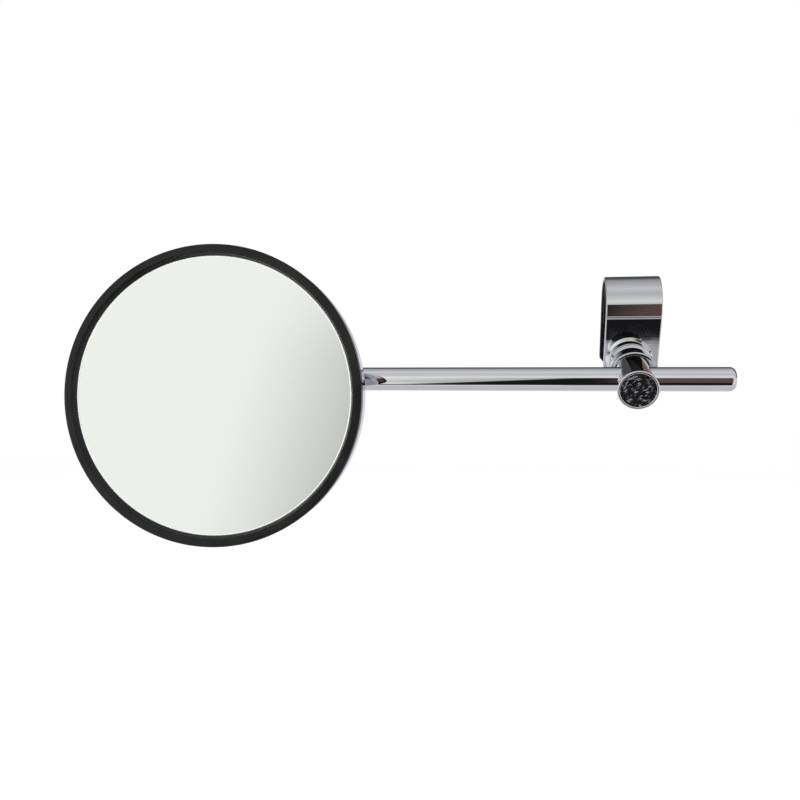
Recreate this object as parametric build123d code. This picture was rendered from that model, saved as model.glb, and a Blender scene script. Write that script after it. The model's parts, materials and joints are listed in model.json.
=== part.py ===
from build123d import *
import os
from math import cos, radians, sin

# Bicycle mirror: a round head on a straight chrome arm. The arm passes through a cross-drilled
# eyebolt that also closes a U-shaped clamp band round the handlebar.
# Millimetres. The origin is the centre of the handlebar bore, +X runs along the handlebar
# towards the free end of the arm, +Z is up and -Y faces the rider.

# Driving dimensions: handlebar clamp
bar_radius = 11.1            # 22.2 mm handlebar
liner_thickness = 0.8
band_thickness = 1.6
band_width = 23.2
liner_width = 21.0
liner_leg = 10.5
shank_radius = 3.0           # M6 shank of the eyebolt
running_gap = 0.08
bolt_drop = 14.3             # eyebolt axis below the handlebar axis
bolt_shift = -2.8            # eyebolt axis to the left of the band's mid-plane
leg_length = 17.5            # leg tip below the eyebolt axis
leg_chamfer_height = 4.2
leg_chamfer_width = 3.4
leg_lean = 8.6               # the front leg leans in under the handlebar by this angle
band_edge_fillet = 0.45
post_tilt = 23.0             # the eyebolt points down towards the rider by this angle

# Driving dimensions: eyebolt and the stack in front of the band
stack_length = 36.0          # band's front face to the arm's axis
spacer_radius = 7.9
spacer_rear_radius = 7.3
spacer_length = 12.0
bush_radius = 9.45
bush_length = 7.5
cup_rear_radius = 8.85
cup_rim_radius = 9.5
cup_rim_station = 4.2        # rim of the cup behind the arm's axis
cup_waist_radius = 8.0        # the cup narrows towards its rear ring
cup_cavity_radius = 8.2
cup_cavity_bottom_radius = 6.9
cup_cavity_depth = 7.6
barrel_radius = 7.85
neck_radius = 6.65           # the barrel tapers from its end face back to the neck
neck_rear_radius = 6.0
barrel_front = 11.9          # end face of the barrel in front of the arm's axis
washer_radius = 6.3
washer_thickness = 1.2
lock_washer_radius = 5.6
lock_washer_thickness = 1.4
nut_across_flats = 10.0
nut_height = 5.0
thread_stand_out = 2.0       # shank beyond the nut
face_gap = 0.03              # between flat faces that turn on each other

# Driving dimensions: arm and head
rod_radius = 4.75
rod_fit = 0.05
rod_tail = 37.2              # free end of the arm beyond the eyebolt
rod_end_fillet = 2.3
rod_start = 9.5              # inner end of the arm from the pivot screw
groove_station = 16.5        # groove for the grub screw, from the pivot screw
groove_width = 3.2
groove_depth = 1.0
pivot_reach = 163.2          # eyebolt axis to the head's pivot screw
head_pan = 5.2               # the head faces this far towards the free end of the arm
head_drop = 7.3              # centre of the mirror below the arm's axis
head_depth = 36.0            # front of the bezel to the pivot screw
head_radius = 57.7
glass_view_radius = 53.5
glass_radius = 55.0
glass_thickness = 2.6
glass_sag = 1.1
lip_depth = 2.9
lip_slope = 0.08             # the lip's underside follows the crowned glass
foam_thickness = 2.0
plate_thickness = 1.2
bezel_side = 5.0
shell_thickness = 1.0
shell_straight = 12.6
shell_depth = 22.5
shell_corner = 9.0
shell_flat_radius = 25.0
shell_crown_angle = 12.0     # slope of the shell's back near its corner

# Driving dimensions: knuckle and pivot
knuckle_radius = 7.4
knuckle_start = 8.0          # stations along the arm, from the pivot screw
knuckle_end = 24.0
knuckle_chamfer = 0.6
lug_half_thickness = 4.0
lug_radius = 6.5
lug_overlap = 1.0            # the lug's web and the arm's socket both run this far past knuckle_start
grub_radius = 2.0
grub_tip_radius = 1.2
pan_screw_radius = 2.5
pan_head_radius = 4.6
pan_head_height = 3.0
pan_nut_height = 4.0
pan_washer_thickness = 0.5
pan_washer_radius = 6.0
bracket_thickness = 2.0
bracket_width = 17.0
bracket_base_height = 38.0
bracket_corner = 5.0
ear_radius = 6.5
rivet_radius = 2.0
rivet_spread = 14.5

band_inner_radius = bar_radius + liner_thickness
band_outer_radius = band_inner_radius + band_thickness
rod_station = -(band_outer_radius + stack_length)
post_location = Rot(post_tilt, 0, 0)
rod_y = rod_station * cos(radians(post_tilt)) + bolt_drop * sin(radians(post_tilt))
rod_z = rod_station * sin(radians(post_tilt)) - bolt_drop * cos(radians(post_tilt))
pivot_x = bolt_shift - pivot_reach
head_location = Pos(pivot_x, rod_y, rod_z) * Rot(0, 0, head_pan)
knuckle_location = Pos(pivot_x, rod_y, rod_z)
post_axis = Pos(bolt_shift, 0, -bolt_drop)
ear_outside = lug_half_thickness + pan_washer_thickness + bracket_thickness
pan_thread_end = pan_nut_height + 1.5
head_axis = Pos(0, 0, -head_drop)


def turned(points):
    """Solid of revolution about Y from (radius, y) points."""
    return revolve(make_face(Polyline(*points, close=True)), axis=Axis.Y)


def tube_along_y(outer, inner, low, high):
    """Straight ring about Y between two stations."""
    return turned([(inner, low), (outer, low), (outer, high), (inner, high)])


def chamfered_tube(outer, inner, low, high, c):
    """Straight ring about Y with both outer rims chamfered by c."""
    return turned([(inner, low), (outer - c, low), (outer, low + c), (outer, high - c), (outer - c, high),
                   (inner, high)])


def behind(station):
    """Y of a point on the eyebolt axis, measured backwards from the arm's axis."""
    return rod_station + station


def strip_side(radius, leg_end):
    """Corner points of one side of a strip: rear tip, rear top, crown, front tangent, front tip."""
    lean = radians(leg_lean)
    crown = radians(90 + leg_lean / 2)
    tangent = (-radius * cos(lean), -radius * sin(lean))
    run = (-leg_end - radius * sin(lean)) / cos(lean)
    tip = (tangent[0] + run * sin(lean), leg_end)
    return [(radius, leg_end), (radius, 0), (radius * cos(crown), radius * sin(crown)), tangent, tip]


def u_strip(outer, inner, width, leg_end):
    """U-shaped strip round the X axis: straight rear leg, front leg leaning in by leg_lean."""
    outside = strip_side(outer, leg_end)
    inside = strip_side(inner, leg_end)
    edges = [
        Line(outside[0], outside[1]),
        ThreePointArc(outside[1], outside[2], outside[3]),
        Line(outside[3], outside[4]),
        Line(outside[4], inside[4]),
        Line(inside[4], inside[3]),
        ThreePointArc(inside[3], inside[2], inside[1]),
        Line(inside[1], inside[0]),
        Line(inside[0], outside[0]),
    ]
    return extrude(Plane.YZ * make_face(edges), width / 2, both=True)


def clamp_band():
    leg_end = -(bolt_drop + leg_length)
    band = u_strip(band_outer_radius, band_inner_radius, band_width, leg_end)
    for side in (-1, 1):
        corner = [
            (side * band_width / 2, leg_end + leg_chamfer_height),
            (side * band_width / 2, leg_end),
            (side * (band_width / 2 - leg_chamfer_width), leg_end),
        ]
        prism = extrude(Plane.XZ * make_face(Polyline(*corner, close=True)), 2 * band_outer_radius, both=True)
        band -= prism
    band -= post_axis * Rot(90, 0, 0) * Cylinder(shank_radius + running_gap, 4 * band_outer_radius)
    outer_edges = [e for e in band.edges() if abs(abs(e.center().X) - band_width / 2) < 0.01]
    return fillet(outer_edges, band_edge_fillet)


def band_liner():
    return u_strip(band_inner_radius, bar_radius, liner_width, -liner_leg)


def base_spacer():
    """Spacer whose rear face is cut to lie flat on the band's leaning front leg."""
    lean = radians(leg_lean)
    front = behind(stack_length - spacer_length)
    rear = behind(stack_length) + spacer_radius
    outer = spacer_radius
    bore = shank_radius + running_gap
    tail = (spacer_rear_radius, behind(stack_length))
    blank = turned([(bore, front), (outer - 0.5, front), (outer, front + 0.5), tail,
                    (spacer_rear_radius, rear), (bore, rear)])
    height = 8 * outer
    half_space = Pos(0, height / 2, 0) * Box(height, height, height)
    face_z = bolt_drop - band_outer_radius * sin(lean)
    face_y = -band_outer_radius * cos(lean)
    return blank - Pos(0, face_y, face_z) * Rot(leg_lean, 0, 0) * half_space


def middle_bush():
    high = behind(stack_length - spacer_length)
    low = high - bush_length
    bore = shank_radius + running_gap
    points = [
        (bore, low),
        (bush_radius - 1.3, low),
        (bush_radius - 0.7, low + 0.5),
        (bush_radius - 1.3, high - 1.8),
        (bush_radius, high - 1.3),
        (bush_radius, high - 0.7),
        (bush_radius - 0.7, high),
        (bore, high),
    ]
    return turned(points)


def saddle_cup():
    rear = behind(stack_length - spacer_length - bush_length) - face_gap
    rim = behind(cup_rim_station)
    bore = shank_radius + running_gap
    points = [
        (bore, rear),
        (cup_rear_radius - 0.8, rear),
        (cup_rear_radius, rear - 0.7),
        (cup_rear_radius, rear - 1.4),
        (cup_waist_radius, rear - 2.2),
        (cup_rim_radius - 0.3, rim + 1.6),
        (cup_rim_radius - 0.3, rim + 1.2),
        (cup_rim_radius, rim + 0.9),
        (cup_rim_radius, rim + 0.4),
        (cup_rim_radius - 0.4, rim),
        (cup_cavity_radius, rim),
        (cup_cavity_bottom_radius, rim + cup_cavity_depth),
        (bore, rim + cup_cavity_depth),
    ]
    cup = turned(points)
    saddle = Pos(0, rod_station, 0) * Rot(0, 90, 0) * Cylinder(rod_radius + rod_fit, 4 * cup_rim_radius)
    return cup - saddle


def eyebolt():
    front = behind(-barrel_front)
    neck_end = behind(cup_rim_station + cup_cavity_depth - 0.3)
    nut_end = band_outer_radius + washer_thickness + lock_washer_thickness + nut_height
    shank_end = nut_end + thread_stand_out
    points = [
        (0, front),
        (barrel_radius - 0.5, front),
        (barrel_radius, front + 0.5),
        (barrel_radius - 0.15, front + 1.4),
        (neck_radius, behind(cup_rim_station)),
        (neck_rear_radius, neck_end),
        (shank_radius, neck_end),
        (shank_radius, shank_end - 0.7),
        (shank_radius - 0.7, shank_end),
        (0, shank_end),
    ]
    hole = Pos(0, rod_station, 0) * Rot(0, 90, 0) * Cylinder(rod_radius + rod_fit, 4 * barrel_radius)
    return turned(points) - hole


def rear_washer():
    low = band_outer_radius
    return chamfered_tube(washer_radius, shank_radius + running_gap, low, low + washer_thickness, 0.2)


def rear_lock_washer():
    low = band_outer_radius + washer_thickness + face_gap
    high = low + lock_washer_thickness - face_gap
    ring = tube_along_y(lock_washer_radius, shank_radius, low, high)
    split = Rot(0, 20, 0) * Pos(0, (low + high) / 2, lock_washer_radius) * Rot(0, 0, 25) * Box(0.8, 4, 6)
    return ring - split


def rear_nut():
    low = band_outer_radius + washer_thickness + lock_washer_thickness
    hexagon = RegularPolygon(nut_across_flats / 2, 6, major_radius=False)
    nut = Pos(0, low, 0) * Rot(-90, 0, 0) * extrude(hexagon, nut_height)
    corner = nut_across_flats / 2 / cos(radians(30))
    rounding = chamfered_tube(corner, 0, low, low + nut_height, 0.7)
    return (nut & rounding) - Pos(0, low, 0) * Rot(90, 0, 0) * Cylinder(shank_radius, 4 * nut_height)


def rod():
    """Straight arm with a domed free end and a groove for the knuckle's grub screw."""
    start = pivot_x + rod_start
    end = bolt_shift + rod_tail
    bar = Pos((start + end) / 2, 0, 0) * Rot(0, 90, 0) * Cylinder(rod_radius, end - start)
    bar = fillet(bar.edges().sort_by(Axis.X)[-1], rod_end_fillet)
    bar = chamfer(bar.edges().sort_by(Axis.X)[0], knuckle_chamfer)
    ring = Cylinder(rod_radius + 1, groove_width) - Cylinder(rod_radius - groove_depth, groove_width)
    bar -= Pos(pivot_x + groove_station, 0, 0) * Rot(0, 90, 0) * ring
    return Pos(0, rod_y, rod_z) * bar


def knuckle_block():
    """Block clamped on the arm's end, with a flat lug round the pivot screw."""
    length = knuckle_end - knuckle_start
    boss = Pos(knuckle_start + length / 2, 0, 0) * Rot(0, 90, 0) * Cylinder(knuckle_radius, length)
    boss = chamfer(boss.edges(), knuckle_chamfer)
    web_end = knuckle_start + lug_overlap
    eye = Cylinder(lug_radius, 2 * lug_half_thickness)
    web = Pos(web_end / 2, 0, 0) * Box(web_end, 2 * lug_radius, 2 * lug_half_thickness)
    block = boss + eye + web
    block -= Pos(web_end + length / 2, 0, 0) * Rot(0, 90, 0) * Cylinder(rod_radius + rod_fit, length)
    block -= Cylinder(pan_screw_radius + running_gap, 4 * lug_half_thickness)
    side_hole = Rot(90, 0, 0) * Cylinder(grub_radius, knuckle_radius)
    return block - Pos(groove_station, knuckle_radius, 0) * side_hole


def knuckle_grub_screw():
    """Dog-point grub screw that runs in the arm's groove."""
    tip = rod_radius - groove_depth + 0.1
    shoulder = rod_radius + 0.3
    top = knuckle_radius + 0.6
    points = [(0, tip), (grub_tip_radius, tip), (grub_tip_radius, shoulder), (grub_radius, shoulder + 0.6),
              (grub_radius, top), (0, top)]
    socket = Pos(0, top, 0) * Rot(90, 0, 0) * extrude(RegularPolygon(grub_radius / 2, 6), 1.4, both=True)
    return Pos(groove_station, 0, 0) * (turned(points) - socket)


def depth(value):
    """Y in the head's own frame of a point this far behind the bezel's front plane."""
    return value - head_depth


def bezel_ring():
    stack_end = lip_depth + glass_thickness + foam_thickness + plate_thickness
    skirt = head_radius - shell_thickness - 0.05
    points = [
        (glass_view_radius, depth(lip_depth - lip_slope)),
        (glass_view_radius + 0.15, depth(lip_depth - 0.5)),
        (glass_view_radius + 0.9, depth(0.75)),
        (glass_view_radius + 1.2, depth(0.55)),
        (glass_view_radius + 1.45, depth(0.15)),
        (glass_view_radius + 1.9, depth(0.0)),
        (head_radius - 1.1, depth(0.0)),
        (head_radius - 0.35, depth(0.35)),
        (head_radius, depth(1.1)),
        (head_radius, depth(bezel_side)),
        (skirt, depth(bezel_side)),
        (skirt, depth(stack_end + 1.6)),
        (glass_radius - 1.2, depth(stack_end + 1.6)),
        (glass_radius - 1.2, depth(stack_end)),
        (glass_radius, depth(stack_end)),
        (glass_radius, depth(lip_depth)),
    ]
    return head_axis * turned(points)


def glass_face_radius():
    return (glass_radius ** 2 + glass_sag ** 2) / (2 * glass_sag)


def mirror_glass():
    """Slightly convex mirror, the front of it crowned by glass_sag."""
    front = glass_face_radius()
    centre_y = depth(lip_depth - glass_sag) + front
    disc = tube_along_y(glass_radius, 0.0, depth(lip_depth - glass_sag - 1), depth(lip_depth + glass_thickness))
    ball = Pos(0, centre_y, 0) * Sphere(front)
    return head_axis * (disc & ball)


def foam_pad():
    low = depth(lip_depth + glass_thickness)
    return head_axis * tube_along_y(glass_radius - 0.8, 0.0, low, low + foam_thickness)


def backing_plate():
    low = depth(lip_depth + glass_thickness + foam_thickness)
    plate = tube_along_y(glass_radius - 0.3, 0.0, low, low + plate_thickness)
    return head_axis * plate


def shell_outline(offset):
    """Half outline of the shell, moved inwards by offset."""
    rim = head_radius - offset
    back = depth(shell_depth - offset)
    corner = shell_corner - offset
    corner_y = depth(shell_straight)
    slope = radians(shell_crown_angle)
    middle = (slope + radians(90)) / 2
    end_r = rim - corner + corner * sin(slope)
    end_y = corner_y + corner * cos(slope)
    mid_r = rim - corner + corner * sin(middle)
    mid_y = corner_y + corner * cos(middle)
    front = depth(bezel_side + 0.05)
    wall = Line((rim, front), (rim, corner_y))
    bend = ThreePointArc((rim, corner_y), (mid_r, mid_y), (end_r, end_y))
    crown = Line((end_r, end_y), (shell_flat_radius, back))
    flat = Line((shell_flat_radius, back), (0, back))
    axis_line = Line((0, back), (0, front))
    mouth = Line((0, front), (rim, front))
    return make_face([wall, bend, crown, flat, axis_line, mouth])


def head_shell():
    outer = revolve(shell_outline(0.0), axis=Axis.Y)
    inner = revolve(shell_outline(shell_thickness), axis=Axis.Y)
    shell = head_axis * (outer - inner)
    for z in (-rivet_spread, rivet_spread):
        shell -= Pos(0, depth(shell_depth), z) * Rot(90, 0, 0) * Cylinder(rivet_radius, 6)
    return shell


def shell_bracket():
    """Pressed bracket: a base on the shell and two ears round the knuckle's lug."""
    base_y = depth(shell_depth) + bracket_thickness / 2
    base = Pos(0, base_y, 0) * Box(bracket_width, bracket_thickness, bracket_base_height)
    base = fillet(base.edges().filter_by(Axis.Y), bracket_corner)
    inner_z = lug_half_thickness + pan_washer_thickness
    bracket = base
    for side in (-1, 1):
        ear_z = side * (inner_z + bracket_thickness / 2)
        reach = -depth(shell_depth)
        ear = Pos(0, -reach / 2, ear_z) * Box(2 * ear_radius, reach, bracket_thickness)
        ear += Pos(0, 0, ear_z) * Cylinder(ear_radius, bracket_thickness)
        bracket += ear
    bracket -= Cylinder(pan_screw_radius, 40)
    for z in (-rivet_spread, rivet_spread):
        bracket -= Pos(0, base_y, z) * Rot(90, 0, 0) * Cylinder(rivet_radius, 6)
    return bracket


def bracket_rivets():
    inside = depth(shell_depth - shell_thickness)
    outside = depth(shell_depth) + bracket_thickness
    rivets = []
    for z in (-rivet_spread, rivet_spread):
        points = [(0, inside - 1.0), (3.4, inside - 1.0), (3.4, inside), (rivet_radius, inside),
                  (rivet_radius, outside), (3.6, outside), (3.0, outside + 1.0), (1.6, outside + 1.6),
                  (0, outside + 1.8)]
        rivets.append(Pos(0, 0, z) * turned(points))
    return Compound(rivets)


def pan_screw():
    """Pan-head screw from above, through both ears and the lug."""
    length = 2 * ear_outside + pan_thread_end
    shank = Pos(0, 0, -pan_thread_end / 2) * Cylinder(pan_screw_radius, length)
    head = Pos(0, 0, ear_outside + pan_head_height / 2) * Cylinder(pan_head_radius, pan_head_height)
    head = fillet(head.edges().sort_by(Axis.Z)[-1], 1.6)
    slot = Pos(0, 0, ear_outside + pan_head_height) * Box(1.2, 3 * pan_head_radius, 2.4)
    return shank + head - slot


def pan_nut():
    hexagon = RegularPolygon(4.0, 6, major_radius=False)
    nut = Pos(0, 0, -ear_outside - pan_nut_height) * extrude(hexagon, pan_nut_height)
    nut = chamfer(nut.edges().group_by(Axis.Z)[0], 0.4)
    return nut - Cylinder(pan_screw_radius, 8 * pan_nut_height)


def pan_washers():
    """Plastic washers between the lug and the bracket's ears."""
    thickness = pan_washer_thickness - face_gap
    ring = Cylinder(pan_washer_radius, thickness) - Cylinder(pan_screw_radius, 2 * thickness)
    middle = lug_half_thickness + face_gap + thickness / 2
    return Compound([Pos(0, 0, side * middle) * ring for side in (-1, 1)])


def place_post(shape):
    return post_location * (post_axis * shape)


os.makedirs("parts", exist_ok=True)
nodes = {
    "clamp_band": post_location * clamp_band(),
    "band_liner": post_location * band_liner(),
    "base_spacer": place_post(base_spacer()),
    "middle_bush": place_post(middle_bush()),
    "saddle_cup": place_post(saddle_cup()),
    "eyebolt": place_post(eyebolt()),
    "rear_washer": place_post(rear_washer()),
    "rear_lock_washer": place_post(rear_lock_washer()),
    "rear_nut": place_post(rear_nut()),
    "rod": rod(),
    "knuckle_block": knuckle_location * knuckle_block(),
    "knuckle_grub_screw": knuckle_location * knuckle_grub_screw(),
    "bezel_ring": head_location * bezel_ring(),
    "mirror_glass": head_location * mirror_glass(),
    "foam_pad": head_location * foam_pad(),
    "backing_plate": head_location * backing_plate(),
    "head_shell": head_location * head_shell(),
    "shell_bracket": head_location * shell_bracket(),
    "bracket_rivets": head_location * bracket_rivets(),
    "pan_screw": head_location * pan_screw(),
    "pan_nut": head_location * pan_nut(),
    "pan_washers": head_location * pan_washers(),
}
for name, shape in nodes.items():
    export_step(shape, f"parts/{name}.step")
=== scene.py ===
import json
from math import atan2, cos, pi, radians, sin, tan

import bmesh
import bpy
from mathutils import Matrix, Vector, noise


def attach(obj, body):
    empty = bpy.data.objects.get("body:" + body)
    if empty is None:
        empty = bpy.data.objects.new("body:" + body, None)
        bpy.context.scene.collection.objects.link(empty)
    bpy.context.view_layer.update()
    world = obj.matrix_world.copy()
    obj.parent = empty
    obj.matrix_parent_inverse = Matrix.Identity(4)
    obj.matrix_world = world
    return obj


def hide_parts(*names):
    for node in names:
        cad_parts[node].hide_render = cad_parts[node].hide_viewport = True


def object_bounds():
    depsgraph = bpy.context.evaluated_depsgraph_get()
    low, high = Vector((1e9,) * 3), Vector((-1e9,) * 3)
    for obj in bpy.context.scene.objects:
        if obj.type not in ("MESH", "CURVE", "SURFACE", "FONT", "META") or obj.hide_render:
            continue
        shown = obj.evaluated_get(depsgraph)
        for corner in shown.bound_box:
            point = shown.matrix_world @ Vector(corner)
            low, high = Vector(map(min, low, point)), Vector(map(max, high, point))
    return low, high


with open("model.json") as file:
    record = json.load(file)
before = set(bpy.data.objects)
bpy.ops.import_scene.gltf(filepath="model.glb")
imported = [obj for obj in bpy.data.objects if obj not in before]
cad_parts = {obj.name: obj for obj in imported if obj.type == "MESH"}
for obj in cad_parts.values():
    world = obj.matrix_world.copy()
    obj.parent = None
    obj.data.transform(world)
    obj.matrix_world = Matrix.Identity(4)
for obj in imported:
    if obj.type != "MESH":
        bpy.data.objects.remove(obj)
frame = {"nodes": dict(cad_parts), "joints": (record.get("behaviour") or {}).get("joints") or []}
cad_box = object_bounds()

MM = 0.001

# Sizes in millimetres, as in the part's source
BAR_R = 11.1
LINER_T = 0.8
BAND_T = 1.6
BAND_W = 23.2
LINER_W = 21.0
LINER_LEG = 10.5
BOLT_DROP = 14.3
LEG = 17.5
LEG_CUT_H = 4.2
LEG_CUT_W = 3.4
LEG_LEAN = 8.6
SHANK_R = 3.0
SHANK_GAP = 0.08
STACK = 36.0
SPACER_R = 7.9
SPACER_REAR_R = 7.3
SPACER_L = 12.0
FACE_GAP = 0.03
BUSH_R = 9.45
BUSH_L = 7.5
CUP_REAR_R = 8.85
CUP_RIM_R = 9.5
CUP_RIM = 4.2
WAIST_R = 8.0
CAVITY_R = 8.2
CAVITY_END_R = 6.9
CAVITY_D = 7.6
BARREL_R = 7.85
NECK_R = 6.65
NECK_REAR_R = 6.0
BARREL_FRONT = 11.9
WASHER_T = 1.2
LOCK_WASHER_T = 1.4
NUT_H = 5.0
THREAD_OUT = 2.0
THREAD_PITCH = 1.0
ROD_R = 4.75
ROD_FIT = 0.05
ROD_TAIL = 37.2
ROD_START = 9.5
ROD_DOME = 2.3
GROOVE = 16.5
GROOVE_W = 3.2
GROOVE_D = 1.0
HEAD_PAN = 5.2
HEAD_DROP = 7.3
HEAD_DEPTH = 36.0
HEAD_R = 57.7
VIEW_R = 53.5
GLASS_R = 55.0
GLASS_T = 2.6
GLASS_SAG = 1.1
LIP = 2.9
BEZEL_SIDE = 5.0
FOAM_T = 2.0
PLATE_T = 1.2
SHELL_T = 1.0
SHELL_STRAIGHT = 12.6
SHELL_DEPTH = 22.5
SHELL_CORNER = 9.0
SHELL_FLAT_R = 25.0
CUTTER = 30.0

BAND_IN = BAR_R + LINER_T
BAND_OUT = BAND_IN + BAND_T

joints = {j["name"]: j for j in frame["joints"]}
arm_point = Vector(joints["post_swivel"]["pos_m"])
post_forward = Vector(joints["post_swivel"]["axis"]).normalized()
pivot_point = Vector(joints["head_pan"]["pos_m"])


def axes(origin, x, y, z):
    """Matrix whose columns are the given axes, at origin."""
    m = Matrix((x, y, z)).transposed().to_4x4()
    m.translation = origin
    return m


right = Vector((1, 0, 0))
post_back = -post_forward
# Local +Y of POST runs back from the arm's axis along the eyebolt; BAR is at the handlebar's centre
POST = axes(arm_point, right, post_back, right.cross(post_back))
BAR = axes(Vector((0, 0, 0)), right, post_back, right.cross(post_back))
HEAD = Matrix.Translation(pivot_point) @ Matrix.Rotation(radians(HEAD_PAN), 4, "Z")
HEAD_CENTRE = HEAD @ Matrix.Translation((0, 0, -HEAD_DROP * MM))
ARM = Matrix.Translation(arm_point)
# The same origin with local +Y along the arm, for what is turned about it
ALONG_ARM = ARM @ Matrix.Rotation(radians(-90), 4, "Z")


# ---------------------------------------------------------------- mesh helpers
def weigh(piece):
    """Vertex normals follow the larger faces, so flats stay flat beside their rounded edges."""
    m = piece.modifiers.new("weigh", "WEIGHTED_NORMAL")
    m.mode = "FACE_AREA"
    m.weight = 100
    m.keep_sharp = True


def new_piece(name, bm, place, body, material, replaces=None):
    """Object from a bmesh in millimetres, set in the row frame, riding on a body."""
    bmesh.ops.recalc_face_normals(bm, faces=bm.faces)
    mesh = bpy.data.meshes.new(name)
    bm.to_mesh(mesh)
    bm.free()
    mesh.transform(place @ Matrix.Scale(MM, 4))
    piece = bpy.data.objects.new(name, mesh)
    bpy.context.scene.collection.objects.link(piece)
    mesh.materials.append(material)
    weigh(piece)
    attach(piece, body)
    if replaces:
        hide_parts(*replaces)
    return piece


def rounded(corners, steps=5):
    """Outline through (u, v, fillet) corners, each turned into an arc of that fillet radius."""
    out = []
    n = len(corners)
    for i, (u, v, fillet) in enumerate(corners):
        p = Vector((u, v))
        a = Vector(corners[i - 1][:2]) - p
        b = Vector(corners[(i + 1) % n][:2]) - p
        if fillet <= 0 or a.length < 1e-9 or b.length < 1e-9:
            out.append(p)
            continue
        half = a.angle(b) / 2
        if half > radians(88):
            out.append(p)
            continue
        reach = min(fillet / tan(half), 0.48 * a.length, 0.48 * b.length)
        radius = reach * tan(half)
        centre = p + (a.normalized() + b.normalized()).normalized() * (radius / sin(half))
        start = p + a.normalized() * reach - centre
        end = p + b.normalized() * reach - centre
        sweep = atan2(start.x * end.y - start.y * end.x, start.dot(end))
        for k in range(steps + 1):
            out.append(centre + Matrix.Rotation(sweep * k / steps, 2) @ start)
    return out


def shade(bm, sharp_angle=32):
    """Smooth faces, with edges sharper than sharp_angle kept crisp."""
    for f in bm.faces:
        f.smooth = True
    for e in bm.edges:
        if len(e.link_faces) == 2 and e.calc_face_angle(0) > radians(sharp_angle):
            e.smooth = False


def divided(outline, step):
    """The outline with its long straight runs divided into lengths of about step."""
    out = []
    for a, b in zip(outline, outline[1:]):
        a, b = Vector(a[:2]), Vector(b[:2])
        count = max(1, round((b - a).length / step))
        out += [a.lerp(b, k / count) for k in range(count)]
    out.append(Vector(outline[-1][:2]))
    return out


def lathe(outline, segments=192, closed=True):
    """bmesh of an (radius, y) outline turned about local Y. Points on the axis share one vertex."""
    bm = bmesh.new()
    rings = []
    for p in outline:
        if abs(p[0]) < 1e-6:
            rings.append([bm.verts.new((0, p[1], 0))] * segments)
        else:
            ring = []
            for k in range(segments):
                t = 2 * pi * k / segments
                ring.append(bm.verts.new((p[0] * cos(t), p[1], p[0] * sin(t))))
            rings.append(ring)
    pairs = list(zip(rings, rings[1:]))
    if closed:
        pairs.append((rings[-1], rings[0]))
    for a, b in pairs:
        for k in range(segments):
            m = (k + 1) % segments
            corners = []
            for v in (a[k], a[m], b[m], b[k]):
                if v not in corners:
                    corners.append(v)
            if len(corners) > 2:
                bm.faces.new(corners)
    return bm


def turned_piece(name, corners, place, body, material, node, segments=192):
    """Piece turned from (radius, y, fillet) corners, standing for one CAD node."""
    bm = lathe(rounded(corners), segments)
    shade(bm)
    return new_piece(name, bm, place, body, material, [node])


def cut(piece, cutters):
    """Boolean difference, applied; the cutters are removed."""
    piece.modifiers.clear()
    for cutter in cutters:
        m = piece.modifiers.new("cut", "BOOLEAN")
        m.operation = "DIFFERENCE"
        m.solver = "EXACT"
        m.object = cutter
    bpy.context.view_layer.update()
    depsgraph = bpy.context.evaluated_depsgraph_get()
    result = bpy.data.meshes.new_from_object(piece.evaluated_get(depsgraph))
    piece.modifiers.clear()
    old = piece.data
    piece.data = result
    bpy.data.meshes.remove(old)
    for cutter in cutters:
        bpy.data.objects.remove(cutter)
    bm = bmesh.new()
    bm.from_mesh(result)
    shade(bm)
    bm.to_mesh(result)
    bm.free()
    weigh(piece)


def cutter_rod(place, radius, low, high, segments=128):
    """Plain cylinder about local Y, used only for cutting."""
    bm = lathe([(0, low), (radius, low), (radius, high), (0, high)], segments, closed=False)
    bmesh.ops.recalc_face_normals(bm, faces=bm.faces)
    mesh = bpy.data.meshes.new("cutter")
    bm.to_mesh(mesh)
    bm.free()
    mesh.transform(place @ Matrix.Scale(MM, 4))
    cutter = bpy.data.objects.new("cutter", mesh)
    bpy.context.scene.collection.objects.link(cutter)
    return cutter


# ---------------------------------------------------------------- materials
def shader(name, **inputs):
    """New material with a Principled BSDF; keyword inputs are set on its own sockets."""
    material = bpy.data.materials.new(name)
    material.use_nodes = True
    bsdf = material.node_tree.nodes["Principled BSDF"]
    for key, value in inputs.items():
        bsdf.inputs[key.replace("_", " ")].default_value = value
    return material, material.node_tree, bsdf


def add(tree, kind, **settings):
    """New node; each setting is an input socket of that name or else a property."""
    node = tree.nodes.new(kind)
    for key, value in settings.items():
        if key in node.inputs:
            node.inputs[key].default_value = value
        else:
            setattr(node, key, value)
    return node


def noise_node(tree, scale, detail=4.0, stretch=(1, 1, 1)):
    """Noise in object space, stretched by the given factors."""
    place = add(tree, "ShaderNodeTexCoord")
    mapping = add(tree, "ShaderNodeMapping")
    mapping.inputs["Scale"].default_value = stretch
    texture = add(tree, "ShaderNodeTexNoise", Scale=scale, Detail=detail)
    tree.links.new(place.outputs["Object"], mapping.inputs["Vector"])
    tree.links.new(mapping.outputs["Vector"], texture.inputs["Vector"])
    return texture


def remap(tree, source, low, high, out_low, out_high):
    """Value carried from low..high to out_low..out_high."""
    node = add(tree, "ShaderNodeMapRange")
    node.inputs["From Min"].default_value = low
    node.inputs["From Max"].default_value = high
    node.inputs["To Min"].default_value = out_low
    node.inputs["To Max"].default_value = out_high
    tree.links.new(source, node.inputs["Value"])
    return node.outputs["Result"]


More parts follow.
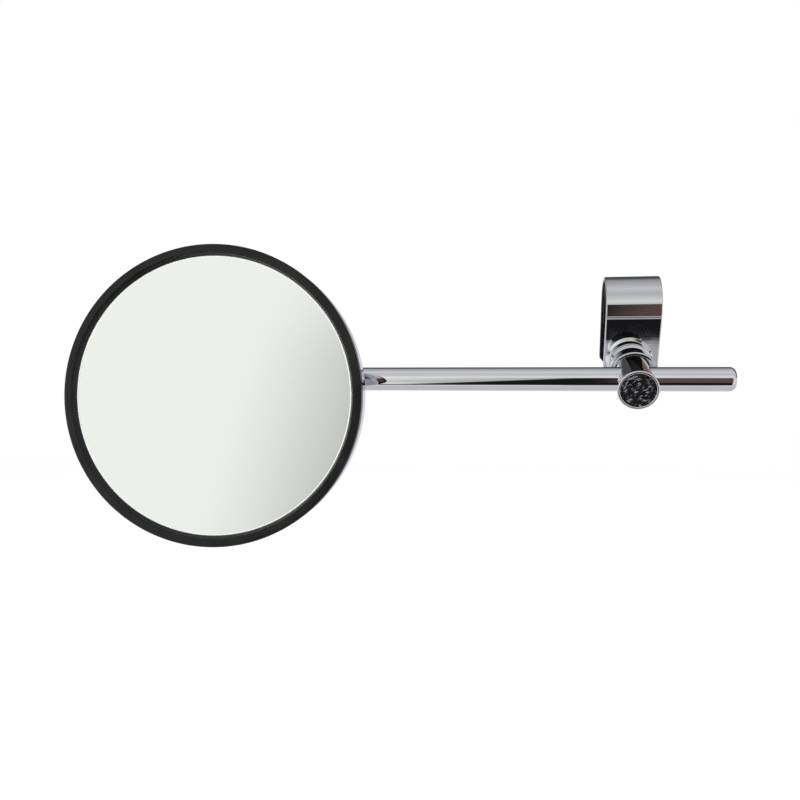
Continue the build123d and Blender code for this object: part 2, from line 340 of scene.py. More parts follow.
def bump(tree, bsdf, height, distance, strength, previous=None):
    """Bump on the shader's normal, on top of a previous bump if there is one."""
    node = add(tree, "ShaderNodeBump")
    node.inputs["Distance"].default_value = distance
    node.inputs["Strength"].default_value = strength
    tree.links.new(height, node.inputs["Height"])
    if previous:
        tree.links.new(previous.outputs["Normal"], node.inputs["Normal"])
    tree.links.new(node.outputs["Normal"], bsdf.inputs["Normal"])
    return node


def mix_colour(tree, factor, a, b):
    """Mix of a and b, each of them a fixed colour or a node's output."""
    node = add(tree, "ShaderNodeMix", data_type="RGBA")
    for socket, colour in ((node.inputs[6], a), (node.inputs[7], b)):
        if isinstance(colour, tuple):
            socket.default_value = (*colour, 1)
        else:
            tree.links.new(colour, socket)
    tree.links.new(factor, node.inputs[0])
    return node.outputs[2]


def chrome_material(name, haze=(0.015, 0.06), colour=(0.76, 0.77, 0.78)):
    """Bright chrome plate: faint haze, slight waviness and hairline polish marks."""
    material, tree, bsdf = shader(name, Metallic=1.0)
    cloud = noise_node(tree, 120, 5)
    tint = mix_colour(tree, cloud.outputs["Fac"], colour, tuple(c * 0.93 for c in colour))
    tree.links.new(tint, bsdf.inputs["Base Color"])
    tree.links.new(remap(tree, cloud.outputs["Fac"], 0.35, 0.75, *haze), bsdf.inputs["Roughness"])
    wave = noise_node(tree, 45, 2)
    first = bump(tree, bsdf, wave.outputs["Fac"], 0.00012, 0.35)
    hairline = noise_node(tree, 900, 3, (0.05, 1, 1))
    bump(tree, bsdf, hairline.outputs["Fac"], 0.000004, 0.3, first)
    return material


def pit_shaded_material():
    """Chrome over a rough forged end face: its pits painted near-black as shade, between bright slanting
    crests.
    """
    material, tree, bsdf = shader("cast_chrome", Metallic=1.0)
    place = add(tree, "ShaderNodeTexCoord")
    mapping = add(tree, "ShaderNodeMapping")
    mapping.vector_type = "TEXTURE"
    mapping.inputs["Rotation"].default_value = (0, radians(-28), 0)
    mapping.inputs["Scale"].default_value = (1.9, 1, 0.85)
    grain = add(tree, "ShaderNodeTexNoise", Scale=1150, Detail=6, Roughness=0.66)
    tree.links.new(place.outputs["Object"], mapping.inputs["Vector"])
    tree.links.new(mapping.outputs["Vector"], grain.inputs["Vector"])
    crest = remap(tree, grain.outputs["Fac"], 0.54, 0.66, 0, 1)
    # painted shade: near-black colour in the pits, plain chrome colour on the crests
    tint = mix_colour(tree, crest, (0.022, 0.022, 0.024), (0.8, 0.8, 0.82))
    tree.links.new(tint, bsdf.inputs["Base Color"])
    tree.links.new(remap(tree, crest, 0, 1, 0.4, 0.14), bsdf.inputs["Roughness"])
    bump(tree, bsdf, grain.outputs["Fac"], 0.0004, 0.8)
    return material


def zinc_material(name, colour=(0.56, 0.57, 0.58)):
    """Dull plated or blackened steel with a cloudy surface."""
    material, tree, bsdf = shader(name, Metallic=1.0)
    cloud = noise_node(tree, 500, 5)
    tint = mix_colour(tree, cloud.outputs["Fac"], colour, tuple(c * 0.7 for c in colour))
    tree.links.new(tint, bsdf.inputs["Base Color"])
    tree.links.new(remap(tree, cloud.outputs["Fac"], 0.3, 0.7, 0.22, 0.42), bsdf.inputs["Roughness"])
    bump(tree, bsdf, cloud.outputs["Fac"], 0.00003, 0.5)
    return material


def rubber_material():
    """Moulded black rubber with a fine matt grain and paler rubbed patches."""
    material, tree, bsdf = shader("black_rubber", Specular_IOR_Level=0.3)
    grain = noise_node(tree, 2600, 4)
    patch = noise_node(tree, 90, 4)
    rubbed = remap(tree, patch.outputs["Fac"], 0.42, 0.66, 0, 1)
    tint = mix_colour(tree, rubbed, (0.003, 0.003, 0.003), (0.010, 0.0095, 0.009))
    tree.links.new(tint, bsdf.inputs["Base Color"])
    tree.links.new(remap(tree, patch.outputs["Fac"], 0.3, 0.7, 0.3, 0.42), bsdf.inputs["Roughness"])
    bump(tree, bsdf, grain.outputs["Fac"], 0.00003, 0.5)
    return material


def mirror_material():
    """Silvered glass, slightly green, with the faintest haze."""
    material, tree, bsdf = shader("mirror_silver", Metallic=1.0)
    bsdf.inputs["Coat Weight"].default_value = 0.15
    bsdf.inputs["Coat Roughness"].default_value = 0.02
    cloud = noise_node(tree, 30, 4)
    tint = mix_colour(tree, cloud.outputs["Fac"], (0.88, 0.905, 0.875), (0.865, 0.895, 0.865))
    tree.links.new(tint, bsdf.inputs["Base Color"])
    tree.links.new(remap(tree, cloud.outputs["Fac"], 0.3, 0.7, 0.012, 0.03), bsdf.inputs["Roughness"])
    return material


def glowing_edge_material():
    """Ground edge of the glass: pale frosted colour, with a faint white glow painted on for its highlight."""
    # painted highlight: the edge glows faintly white, though it is no lamp
    material, tree, bsdf = shader("glass_edge_painted_glow", Metallic=0.0, Emission_Strength=0.25)
    bsdf.inputs["Emission Color"].default_value = (1, 1, 1, 1)
    cloud = noise_node(tree, 800, 3)
    tint = mix_colour(tree, cloud.outputs["Fac"], (0.93, 0.95, 0.93), (0.86, 0.9, 0.88))
    tree.links.new(tint, bsdf.inputs["Base Color"])
    tree.links.new(remap(tree, cloud.outputs["Fac"], 0.3, 0.7, 0.25, 0.4), bsdf.inputs["Roughness"])
    return material


def plastic_material(name, colour, rough=(0.45, 0.6), grain_scale=1500):
    """Matt grained plastic or foam."""
    material, tree, bsdf = shader(name)
    grain = noise_node(tree, grain_scale, 4)
    tint = mix_colour(tree, grain.outputs["Fac"], colour, tuple(c * 0.7 for c in colour))
    tree.links.new(tint, bsdf.inputs["Base Color"])
    tree.links.new(remap(tree, grain.outputs["Fac"], 0.3, 0.7, *rough), bsdf.inputs["Roughness"])
    bump(tree, bsdf, grain.outputs["Fac"], 0.00005, 0.6)
    return material


chrome = chrome_material("chrome_plate")
post_chrome = chrome_material("chrome_post", (0.02, 0.08), (0.74, 0.75, 0.75))
band_chrome = chrome_material("chrome_band", (0.02, 0.07), (0.68, 0.69, 0.69))
# darker, bluish copy of the chrome: painted shade and reflection tint on the shell
shaded_shell_chrome = chrome_material("chrome_shell_painted_shade", (0.02, 0.07), (0.5, 0.5, 0.53))
# end-face chrome with its pits painted dark as shade
pit_shaded_chrome = pit_shaded_material()
zinc = zinc_material("zinc_plate")
# black oxide for the grub screw; the same dark colour is painted shade inside the cup and the band
dark_steel_and_shade = zinc_material("black_oxide_and_painted_shade", (0.06, 0.06, 0.065))
rubber = rubber_material()
silver = mirror_material()
# glass edge, its faint glow a painted highlight
glowing_ground_edge = glowing_edge_material()
plastic = plastic_material("black_plastic", (0.035, 0.035, 0.036))
foam = plastic_material("grey_foam", (0.12, 0.12, 0.12), (0.85, 0.95), 900)


# ---------------------------------------------------------------- head
def d(value):
    """Local Y of a point this far behind the bezel's front plane."""
    return value - HEAD_DEPTH


def make_bezel():
    """Rubber ring with an outer bead, a flat front, a groove and a step down to the glass."""
    stack = LIP + GLASS_T + FOAM_T + PLATE_T
    skirt = HEAD_R - SHELL_T - 0.05
    corners = [
        (VIEW_R, d(LIP - 0.09), 0),
        (VIEW_R + 0.06, d(LIP - 0.4), 0.15),
        (VIEW_R + 0.78, d(0.85), 0.6),
        (VIEW_R + 0.86, d(0.5), 0.1),
        (VIEW_R + 1.0, d(0.62), 0.08),
        (VIEW_R + 1.12, d(0.12), 0.12),
        (VIEW_R + 1.3, d(0.0), 0.2),
        (HEAD_R - 1.0, d(0.05), 0.5),
        (HEAD_R - 0.62, d(0.26), 0.08),
        (HEAD_R - 0.52, d(0.18), 0.1),
        (HEAD_R, d(0.75), 0.5),
        (HEAD_R, d(BEZEL_SIDE), 0.25),
        (skirt, d(BEZEL_SIDE), 0),
        (skirt, d(stack + 1.6), 0.2),
        (GLASS_R - 1.2, d(stack + 1.6), 0.2),
        (GLASS_R - 1.2, d(stack), 0),
        (GLASS_R, d(stack), 0),
        (GLASS_R, d(LIP), 0),
    ]
    turned_piece("bezel_rubber", corners, HEAD_CENTRE, "head", rubber, "bezel_ring", 384)


def make_glass():
    """Crowned mirror with a ground bevel just inside the bezel's lip."""
    ball = (GLASS_R ** 2 + GLASS_SAG ** 2) / (2 * GLASS_SAG)
    apex = LIP - GLASS_SAG

    def face(r):
        return d(apex + ball - (ball ** 2 - r ** 2) ** 0.5)

    bevel = 0.5
    outline = []
    crown_steps = 48
    for k in range(crown_steps + 1):
        r = (VIEW_R - bevel) * k / crown_steps
        outline.append((r, face(r)))
    outline.append((VIEW_R - 0.02, face(VIEW_R) + 0.02))
    outline.append((VIEW_R + 0.1, face(VIEW_R) + 0.12))
    outline.append((GLASS_R - 0.35, face(GLASS_R) + 0.12))
    outline.append((GLASS_R - 0.05, face(GLASS_R) + 0.5))
    outline.append((GLASS_R - 0.05, d(LIP + GLASS_T) - 0.2))
    outline.append((GLASS_R - 0.3, d(LIP + GLASS_T)))
    outline.append((0, d(LIP + GLASS_T)))
    bm = lathe(outline, 384, closed=False)
    shade(bm, 10)
    piece = new_piece("mirror_disc", bm, HEAD_CENTRE, "head", silver, ["mirror_glass"])
    # the ring outside the view gets the edge material with its painted glow
    piece.data.materials.append(glowing_ground_edge)
    edge = (VIEW_R - bevel) * MM
    centre = HEAD_CENTRE.inverted()
    for polygon in piece.data.polygons:
        local = centre @ polygon.center
        if (local.x ** 2 + local.z ** 2) ** 0.5 > edge:
            polygon.material_index = 1


def shell_profile(offset):
    """Half outline of the shell from its mouth to the middle of its back, moved inwards by offset."""
    rim = HEAD_R - offset
    corner = SHELL_CORNER - offset
    points = [(rim, d(BEZEL_SIDE + 0.05)), (rim, d(BEZEL_SIDE + 0.6))]
    end_angle = 78
    steps = 18
    for k in range(steps + 1):
        t = radians(end_angle * k / steps)
        points.append((rim - corner + corner * cos(t), d(SHELL_STRAIGHT) + corner * sin(t)))
    back = d(SHELL_DEPTH - offset)
    start_r, start_y = points[-1]
    crown_steps = 10
    for k in range(1, crown_steps + 1):
        s = k / crown_steps
        r = start_r + (SHELL_FLAT_R - start_r) * s
        points.append((r, start_y + (back - start_y) * (1 - (1 - s) ** 1.35)))
    points.append((SHELL_FLAT_R * 0.6, back))
    points.append((0, back))
    return points


def make_shell():
    """Thin pressed shell, its mouth closed between the outside and the inside."""
    outer = shell_profile(0.0)
    inner = shell_profile(SHELL_T)
    bm = lathe(outer + inner[::-1], 384, closed=False)
    first = [v for v in bm.verts if abs(v.co.y - d(BEZEL_SIDE + 0.05)) < 1e-4]
    mouth = [e for e in bm.edges if e.is_boundary and e.verts[0] in first and e.verts[1] in first]
    bmesh.ops.bridge_loops(bm, edges=mouth)
    shade(bm)
    # the shell's chrome is darkened as painted shade
    new_piece("shell_cover", bm, HEAD_CENTRE, "head", shaded_shell_chrome, ["head_shell"])


# ---------------------------------------------------------------- post
def make_eyebolt():
    """Barrel with a rough forged end, the arm's cross hole, neck and threaded shank."""
    neck_end = CUP_RIM + CAVITY_D - 0.3
    shank_end = STACK + 2 * BAND_OUT + WASHER_T + LOCK_WASHER_T + NUT_H + THREAD_OUT
    face_r = BARREL_R - 1.0
    face_depth = 0.2
    rim = 0.6
    rim_steps = 8
    outline = [(face_r, -BARREL_FRONT + face_depth), (BARREL_R - 0.8, -BARREL_FRONT + 0.02)]
    for k in range(rim_steps + 1):
        t = radians(90 - 90 * k / rim_steps)
        outline.append((BARREL_R - rim + rim * cos(t), -BARREL_FRONT + rim - rim * sin(t)))
    outline += [(BARREL_R - 0.1, -BARREL_FRONT + 1.2), (BARREL_R - 0.2, -BARREL_FRONT + 1.6)]
    outline += [(NECK_R, CUP_RIM), (NECK_REAR_R + 0.05, neck_end - 0.4), (NECK_REAR_R - 0.4, neck_end)]
    outline += [(SHANK_R, neck_end), (SHANK_R, STACK + 4.0)]
    root = SHANK_R - 0.55
    tip = 0.6
    y = STACK + 2 * BAND_OUT - 3.0
    outline.append((SHANK_R, y))
    while y + THREAD_PITCH < shank_end - tip:
        outline.append((root, y + THREAD_PITCH * 0.5))
        outline.append((SHANK_R, y + THREAD_PITCH * 0.95))
        y += THREAD_PITCH
    outline += [(SHANK_R, shank_end - tip), (SHANK_R - tip, shank_end), (0, shank_end)]
    segments = 192
    bm = lathe(divided(outline, 0.7), segments, closed=False)
    # the end face is a dish of rings, roughened by forged()
    previous = [v for v in bm.verts if abs(v.co.y - (-BARREL_FRONT + face_depth)) < 1e-5]
    previous.sort(key=lambda v: atan2(v.co.z, v.co.x) % (2 * pi))
    rings = 22
    dish = -BARREL_FRONT + 0.24
    for k in range(1, rings):
        r = face_r * (1 - k / rings)
        ring = []
        for i in range(segments):
            t = 2 * pi * i / segments
            x, z = r * cos(t), r * sin(t)
            ring.append(bm.verts.new((x, dish + forged(x, z), z)))
        for i in range(segments):
            m = (i + 1) % segments
            bm.faces.new((previous[i], previous[m], ring[m], ring[i]))
        previous = ring
    middle = bm.verts.new((0, dish + forged(0, 0), 0))
    for i in range(segments):
        bm.faces.new((previous[i], previous[(i + 1) % segments], middle))
    shade(bm)
    piece = new_piece("eyebolt_turned", bm, POST, "post", post_chrome, ["eyebolt"])
    # the end face takes the chrome with its pits painted dark as shade
    piece.data.materials.append(pit_shaded_chrome)
    back = POST.inverted()
    for polygon in piece.data.polygons:
        at = back @ polygon.center / MM
        if at.y < -BARREL_FRONT + 0.6 and (at.x ** 2 + at.z ** 2) ** 0.5 < face_r + 0.05:
            polygon.material_index = 1
    cut(piece, [cutter_rod(ALONG_ARM, ROD_R + ROD_FIT, -CUTTER, CUTTER)])


def forged(x, z):
    """Height in millimetres of the forged end face: slanting crests over small pits."""
    slant = Vector((x * 0.5 + z * 1.1, x * 0.25 - z * 0.2, 3.7))
    fine = Vector((x * 2.4, z * 2.4, 9.1))
    return 0.12 * noise.noise(slant * 1.3) + 0.07 * noise.noise(fine)


def make_cup():
    """Cup with a bright rim and its inside painted dark as shade, saddled on the arm."""
    rear = STACK - SPACER_L - BUSH_L - FACE_GAP
    bore = SHANK_R + SHANK_GAP
    corners = [
        (bore, rear, 0.1),
        (CUP_REAR_R - 0.7, rear, 0.1),
        (CUP_REAR_R, rear - 0.6, 0.3),
        (CUP_REAR_R, rear - 1.3, 0.2),
        (WAIST_R, rear - 2.2, 0.4),
        (CUP_RIM_R - 0.35, CUP_RIM + 1.5, 0.5),
        (CUP_RIM_R - 0.35, CUP_RIM + 1.15, 0.08),
        (CUP_RIM_R, CUP_RIM + 0.9, 0.2),
        (CUP_RIM_R, CUP_RIM + 0.4, 0.25),
        (CUP_RIM_R - 0.35, CUP_RIM, 0.2),
        (CAVITY_R + 0.1, CUP_RIM, 0.1),
        (CAVITY_R, CUP_RIM + 0.3, 0.1),
        (CAVITY_END_R, CUP_RIM + CAVITY_D, 0.5),
        (bore, CUP_RIM + CAVITY_D, 0.1),
    ]
    outline = rounded(corners)
    bm = lathe(divided(outline + outline[:1], 0.7)[:-1])
    shade(bm)
    cup = new_piece("cup_turned", bm, POST, "post", post_chrome, ["saddle_cup"])
    cut(cup, [cutter_rod(ALONG_ARM, ROD_R + ROD_FIT, -CUTTER, CUTTER)])
    # the cavity's inside is painted dark: painted shade in the recess
    cup.data.materials.append(dark_steel_and_shade)
    back = POST.inverted()
    for polygon in cup.data.polygons:
        at = back @ polygon.center / MM
        cavity_shade = CUP_RIM + 0.15 < at.y < CUP_RIM + CAVITY_D + 0.1
        if cavity_shade and (at.x ** 2 + at.z ** 2) ** 0.5 < CAVITY_R:
            polygon.material_index = 1


def make_bush():
    """Ring between the cup and the spacer, with a bead at its rear edge."""
    high = STACK - SPACER_L
    low = high - BUSH_L
    bore = SHANK_R + SHANK_GAP
    corners = [
        (bore, low, 0.1),
        (BUSH_R - 1.3, low, 0.1),
        (BUSH_R - 0.7, low + 0.5, 0.2),
        (BUSH_R - 1.3, high - 1.8, 0.3),
        (BUSH_R, high - 1.3, 0.15),
        (BUSH_R, high - 0.7, 0.25),
        (BUSH_R - 0.7, high, 0.2),
        (bore, high, 0.1),
    ]
    turned_piece("bush_turned", corners, POST, "clamp", post_chrome, "middle_bush")


def make_spacer():
    """Spacer, its rear face cut to lie on the leaning leg."""
    front = STACK - SPACER_L
    bore = SHANK_R + SHANK_GAP
    lean = radians(LEG_LEAN)
    outline = rounded([(bore, front, 0.1), (SPACER_R, front, 0.4), (SPACER_REAR_R, STACK, 0),
                       (SPACER_REAR_R, STACK + SPACER_R, 0), (bore, STACK + SPACER_R, 0)])
    bm = lathe(outline)
    point = Vector((0, BAND_OUT + STACK - BAND_OUT * cos(lean), BOLT_DROP - BAND_OUT * sin(lean)))
    face = Vector((0, cos(lean), sin(lean)))
    everything = bm.verts[:] + bm.edges[:] + bm.faces[:]
    cut_edges = bmesh.ops.bisect_plane(bm, geom=everything, plane_co=point, plane_no=face, clear_outer=True)
    loops = [e for e in cut_edges["geom_cut"] if isinstance(e, bmesh.types.BMEdge)]
    bmesh.ops.bridge_loops(bm, edges=loops)
    shade(bm)
    new_piece("spacer_turned", bm, POST, "clamp", post_chrome, ["base_spacer"])


def u_path(radius, leg_end, leg_steps=24, arch_steps=96):
    """(y, z, outward normal) stations of a U from the leaning front leg's tip to the rear tip."""
    lean = radians(LEG_LEAN)
    start = Vector((-radius * cos(lean), -radius * sin(lean)))
    run = (-leg_end + start.y) / cos(lean)
    down = Vector((sin(lean), -cos(lean)))
    front = Vector((0, -cos(lean), -sin(lean)))
    stations = []
    for k in range(leg_steps):
        at = start + down * run * (1 - k / leg_steps)
        stations.append((at.x, at.y, front))
    for k in range(arch_steps + 1):
        t = pi + lean - (pi + lean) * k / arch_steps
        stations.append((radius * cos(t), radius * sin(t), Vector((0, cos(t), sin(t)))))
    for k in range(1, leg_steps + 1):
        stations.append((radius, leg_end * k / leg_steps, Vector((0, 1, 0))))
    return stations


def strip(inner, thickness, width, leg_end, edge, cut_h=0.0, cut_w=0.0):
    """U strip with rounded long edges; its tips narrow by cut_w over cut_h."""
    bm = bmesh.new()
    rings = []
    half_t = thickness / 2
    for y, z, normal in u_path(inner + half_t, leg_end):
        above = z - leg_end
        half_w = width / 2
        if cut_h and above < cut_h:
            half_w -= cut_w * (1 - above / cut_h)
        section = rounded([(-half_w, -half_t, edge), (half_w, -half_t, edge),
                           (half_w, half_t, edge), (-half_w, half_t, edge)])
        ring = []
        for p in section:
            ring.append(bm.verts.new(Vector((p.x, y, z)) + normal * p.y))
        rings.append(ring)
    count = len(rings[0])
    for a, b in zip(rings, rings[1:]):
        for i in range(count):
            m = (i + 1) % count
            bm.faces.new((a[i], a[m], b[m], b[i]))
    bm.faces.new(rings[0])
    bm.faces.new(rings[-1])
    shade(bm)
    return bm


def make_band():
    """Clamp strip, its inside painted black as shade between it and the liner, with the eyebolt's holes
    through both legs.
    """
    leg_end = -(BOLT_DROP + LEG)
    bm = strip(BAND_IN, BAND_T, BAND_W, leg_end, 0.5, LEG_CUT_H, LEG_CUT_W)
    band = new_piece("band_strip", bm, BAR, "clamp", band_chrome, ["clamp_band"])
    cut(band, [cutter_rod(POST, SHANK_R + SHANK_GAP, STACK - 5, STACK + 40, segments=64)])
    # the inner faces are painted black: painted shade where the band wraps the liner
    band.data.materials.append(dark_steel_and_shade)
    back = BAR.inverted()
    middle = (BAND_IN + BAND_T * 0.3) * MM
    for polygon in band.data.polygons:
        at = back @ polygon.center
        inward = back.to_3x3() @ polygon.normal
        near = abs(at.y) if at.z < 0 else (at.y ** 2 + at.z ** 2) ** 0.5
        if near < middle and inward.y * at.y + max(at.z, 0) * inward.z < 0:
            polygon.material_index = 1


def make_liner():
    """Thin black strip between the band and the handlebar."""
    bm = strip(BAR_R, LINER_T, LINER_W, -LINER_LEG, 0.2)
    new_piece("liner_strip", bm, BAR, "clamp", rubber, ["band_liner"])


# ---------------------------------------------------------------- arm
def make_rod():
    """Straight arm: a groove near its inner end, and a free end domed round a small flat."""
    pivot = (pivot_point.x - arm_point.x) / MM
    start = pivot + ROD_START
    low = pivot + GROOVE - GROOVE_W / 2
    high = pivot + GROOVE + GROOVE_W / 2
    chamfer = 0.6
    outline = [(0, start), (ROD_R - chamfer, start), (ROD_R, start + chamfer), (ROD_R, low)]
    outline += [(ROD_R - GROOVE_D, low), (ROD_R - GROOVE_D, high), (ROD_R, high)]
    span_steps = 40
    first = high + 0.4
    dome_y = ROD_TAIL - ROD_DOME
    for k in range(span_steps + 1):
        outline.append((ROD_R, first + (dome_y - first) * k / span_steps))
    dome_steps = 12
    for k in range(1, dome_steps + 1):
        t = pi / 2 * k / dome_steps
        outline.append((ROD_R - ROD_DOME + ROD_DOME * cos(t), dome_y + ROD_DOME * sin(t)))
    outline.append((0, ROD_TAIL))
    bm = lathe(outline, closed=False)
    shade(bm)
    new_piece("arm_bar", bm, ALONG_ARM, "arm", chrome, ["rod"])


def paint_cad_nodes():
    """Materials for the CAD nodes that stay as they are."""
    finishes = {
        "rear_washer": zinc,
        "rear_lock_washer": zinc,
        "rear_nut": zinc,
        "knuckle_block": chrome,
        "knuckle_grub_screw": dark_steel_and_shade,
        "foam_pad": foam,
        "backing_plate": plastic,
        "shell_bracket": chrome,
        "bracket_rivets": zinc,
        "pan_screw": zinc,
        "pan_nut": zinc,
        "pan_washers": plastic,
    }
    for name, material in finishes.items():
        node = frame["nodes"][name]
        node.data.materials.clear()
        node.data.materials.append(material)


make_bezel()
make_glass()
make_shell()
make_eyebolt()
make_cup()
make_bush()
make_spacer()
make_band()
make_liner()
make_rod()
paint_cad_nodes()
# the band and the turned post pieces aren't seen in reflections, so the chrome near them mirrors the studio
for name in ("band_strip", "spacer_turned", "bush_turned", "cup_turned", "eyebolt_turned"):
    bpy.data.objects[name].visible_glossy = False


# ---------------------------------------------------------------- studio
def make_floor():
    """Plain pale floor well below the held object."""
    drop = 0.30
    half = 4.0
    bm = bmesh.new()
    bmesh.ops.create_grid(bm, x_segments=2, y_segments=2, size=half)
    mesh = bpy.data.meshes.new("floor")
    bm.to_mesh(mesh)
    bm.free()
    floor = bpy.data.objects.new("floor", mesh)
    floor.location = (-0.07, 0, cad_box[0][2] - drop)
    bpy.context.scene.collection.objects.link(floor)
    material, tree, bsdf = shader("floor_white", Roughness=0.9)
    bsdf.inputs["Base Color"].default_value = (0.95, 0.95, 0.95, 1)
    bsdf.inputs["Emission Color"].default_value = (1, 1, 1, 1)
    bsdf.inputs["Emission Strength"].default_value = 0.5
    mesh.materials.append(material)
    floor.visible_glossy = False


def maths(tree, operation, a, b):
    """Arithmetic on two values, each of them a number or a node's output."""
    node = add(tree, "ShaderNodeMath", operation=operation)
    for socket, value in zip(node.inputs, (a, b)):
        if isinstance(value, (int, float)):
            socket.default_value = value
        else:
            tree.links.new(value, socket)
    return node.outputs[0]


def soft_step(tree, value, low, high):
    """0 at low and 1 at high, whichever of them is larger, with a smooth change between."""
    node = add(tree, "ShaderNodeMapRange", interpolation_type="SMOOTHSTEP")
    node.inputs["From Min"].default_value = low
    node.inputs["From Max"].default_value = high
    tree.links.new(value, node.inputs["Value"])
    return node.outputs["Result"]


def product(tree, *factors):
    """All the factors multiplied together."""
    result = factors[0]
    for factor in factors[1:]:
        result = maths(tree, "MULTIPLY", result, factor)
    return result


def make_world():
    """Soft white tent, with the brightness varying round the arm's axis. The backdrop itself is white."""
    world = bpy.data.worlds.new("tent")
    bpy.context.scene.world = world
    world.use_nodes = True
    tree = world.node_tree
    tree.nodes.clear()
    place = add(tree, "ShaderNodeTexCoord")
    split = add(tree, "ShaderNodeSeparateXYZ")
    tree.links.new(place.outputs["Generated"], split.inputs[0])
    x, y, z = split.outputs
    toward = maths(tree, "MULTIPLY", y, -1.0)
    rise = maths(tree, "MULTIPLY", maths(tree, "ARCTAN2", z, toward), 180 / pi)
    # tent brightness round the arm's axis: rise is 0 in front, 90 overhead, 180 behind
    ramp = add(tree, "ShaderNodeValToRGB")
    turn = maths(tree, "ADD", maths(tree, "DIVIDE", rise, 360.0), 0.5)
    tree.links.new(turn, ramp.inputs[0])
    cool = (0.99, 1.0, 1.06)
    warm = (1.0, 0.995, 0.975)
    stops = [(-180, 0.9, cool), (-150, 0.75, cool), (-120, 0.62, cool), (-105, 0.64, cool), (-80, 0.64, cool),
             (-61, 0.84, cool), (-50, 0.97, warm), (15, 0.97, warm), (26, 0.82, warm), (45, 0.62, cool),
             (67, 0.78, cool), (88, 0.60, cool), (112, 0.42, cool), (128, 0.10, cool), (156, 0.07, cool),
             (168, 0.5, cool), (176, 0.9, cool)]
    elements = ramp.color_ramp.elements
    while len(elements) > 1:
        elements.remove(elements[-1])
    elements[0].position = 0
    for i, (angle, value, light) in enumerate(stops):
        stop = elements[0] if i == 0 else elements.new(angle / 360 + 0.5)
        stop.color = (value * light[0], value * light[1], value * light[2], 1)
    # brown hanging behind and above, a little to the right
    brown = product(tree, soft_step(tree, x, 0.12, 0.2), soft_step(tree, x, 0.46, 0.36),
                    soft_step(tree, rise, 118, 128), soft_step(tree, rise, 164, 156))
    tone = mix_colour(tree, brown, ramp.outputs[0], (0.2, 0.11, 0.09))
    glow = add(tree, "ShaderNodeBackground", Strength=1.0)
    tree.links.new(tone, glow.inputs["Color"])
    backdrop = add(tree, "ShaderNodeBackground", Strength=1.0)
    backdrop.inputs["Color"].default_value = (1, 1, 1, 1)
    path = add(tree, "ShaderNodeLightPath")
    both = add(tree, "ShaderNodeMixShader")
    tree.links.new(path.outputs["Is Camera Ray"], both.inputs[0])
    tree.links.new(glow.outputs[0], both.inputs[1])
    tree.links.new(backdrop.outputs[0], both.inputs[2])
    out = add(tree, "ShaderNodeOutputWorld")
    tree.links.new(both.outputs[0], out.inputs["Surface"])


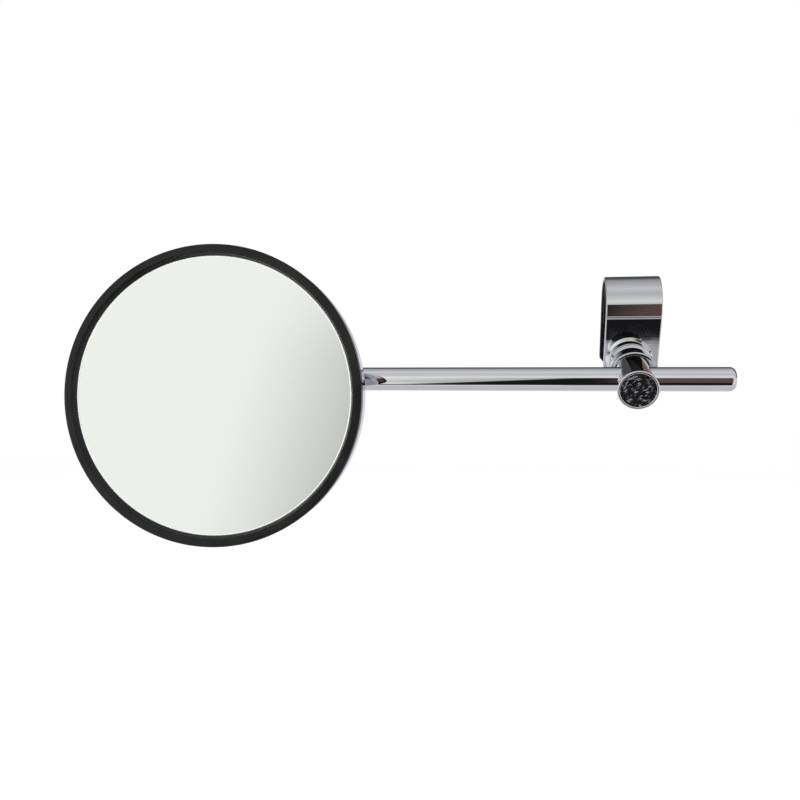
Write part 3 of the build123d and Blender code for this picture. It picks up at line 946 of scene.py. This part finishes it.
def make_flag():
    """Dark flag with a grey apron, half a metre in front, that only reflections see."""
    away = 0.5
    left, right_end, low, top = -0.75, 0.7, -1.2, 0.17
    lowest, highest = -0.925, -0.90
    corners = [(left, low), (right_end, low), (right_end, top), (left, top)]
    bm = bmesh.new()
    bm.faces.new([bm.verts.new((x, arm_point.y - away, z)) for x, z in corners])
    mesh = bpy.data.meshes.new("flag")
    bm.to_mesh(mesh)
    bm.free()
    flag = bpy.data.objects.new("flag", mesh)
    bpy.context.scene.collection.objects.link(flag)
    flag.visible_camera = False
    flag.visible_diffuse = False
    flag.visible_shadow = False
    material = bpy.data.materials.new("flag_cloth")
    material.use_nodes = True
    tree = material.node_tree
    tree.nodes.clear()
    place = add(tree, "ShaderNodeTexCoord")
    split = add(tree, "ShaderNodeSeparateXYZ")
    tree.links.new(place.outputs["Object"], split.inputs[0])
    x, _, z = split.outputs
    # its left side leans: further left the lower it is
    slant = maths(tree, "SUBTRACT", x, maths(tree, "MULTIPLY", maths(tree, "ADD", z, 0.03), 0.3))
    inside = soft_step(tree, slant, -0.065, -0.005)
    foot = product(tree, soft_step(tree, z, -0.62, -0.70), soft_step(tree, x, -0.55, -0.3))
    inside = product(tree, maths(tree, "MAXIMUM", inside, foot), soft_step(tree, z, 0.062, 0.035),
                     soft_step(tree, z, lowest, highest), soft_step(tree, x, 0.42, 0.3))
    # a thin veil hangs to its left
    veil = product(tree, soft_step(tree, slant, -0.26, -0.03), 0.42, soft_step(tree, z, 0.16, 0.0),
                   soft_step(tree, z, -0.5, -0.3))
    inside = maths(tree, "MAXIMUM", inside, veil)
    # the grey apron is below it, in front of the clamp
    apron = product(tree, soft_step(tree, x, -0.02, 0.05), soft_step(tree, x, 0.3, 0.23),
                    soft_step(tree, z, -1.17, -1.1), soft_step(tree, z, highest, lowest))
    inside = maths(tree, "MAXIMUM", inside, apron)
    warm = product(tree, soft_step(tree, x, 0.01, 0.09), soft_step(tree, z, -0.42, -0.34))
    tint = mix_colour(tree, warm, (0.012, 0.012, 0.014), (0.13, 0.082, 0.07))
    tint = mix_colour(tree, apron, tint, (0.5, 0.5, 0.52))
    cloth = add(tree, "ShaderNodeEmission", Strength=1.0)
    tree.links.new(tint, cloth.inputs["Color"])
    clear = add(tree, "ShaderNodeBsdfTransparent")
    both = add(tree, "ShaderNodeMixShader")
    tree.links.new(inside, both.inputs[0])
    tree.links.new(clear.outputs[0], both.inputs[1])
    tree.links.new(cloth.outputs[0], both.inputs[2])
    out = add(tree, "ShaderNodeOutputMaterial")
    tree.links.new(both.outputs[0], out.inputs["Surface"])
    mesh.materials.append(material)


def make_lights():
    """Two large soft boxes overhead, for the floor and the matt parts."""
    for x, power in ((-0.7, 9.0), (0.7, 7.0)):
        data = bpy.data.lights.new("softbox", "AREA")
        data.shape = "RECTANGLE"
        data.size = 1.2
        data.size_y = 1.2
        data.energy = power
        lamp = bpy.data.objects.new("softbox", data)
        lamp.location = (x, -0.4, 1.3)
        lamp.rotation_euler = (Vector((-0.07, 0, 0)) - lamp.location).to_track_quat("-Z", "Y").to_euler()
        lamp.visible_glossy = False
        bpy.context.scene.collection.objects.link(lamp)


def make_camera():
    """Camera a forearm's length from the clamp, turned to its left, at the arm's height."""
    turn = radians(9.5)
    roll = radians(0.3)
    across, above, away = 0.0917, 0.0086, 0.3122
    cam_right = Vector((cos(turn), sin(turn), 0))
    cam_up = Vector((0, 0, 1))
    cam_back = Vector((sin(turn), -cos(turn), 0))
    eye = arm_point - cam_right * across - cam_up * above + cam_back * away
    data = bpy.data.cameras.new("camera")
    data.sensor_width = 36
    data.lens = 36
    data.clip_start = 0.01
    camera = bpy.data.objects.new("camera", data)
    camera.matrix_world = axes(eye, cam_right, cam_up, cam_back) @ Matrix.Rotation(roll, 4, "Z")
    bpy.context.scene.collection.objects.link(camera)
    bpy.context.scene.camera = camera


make_floor()
make_world()
make_flag()
make_lights()
make_camera()
bpy.context.scene.view_settings.view_transform = "Standard"

bpy.context.view_layer.update()
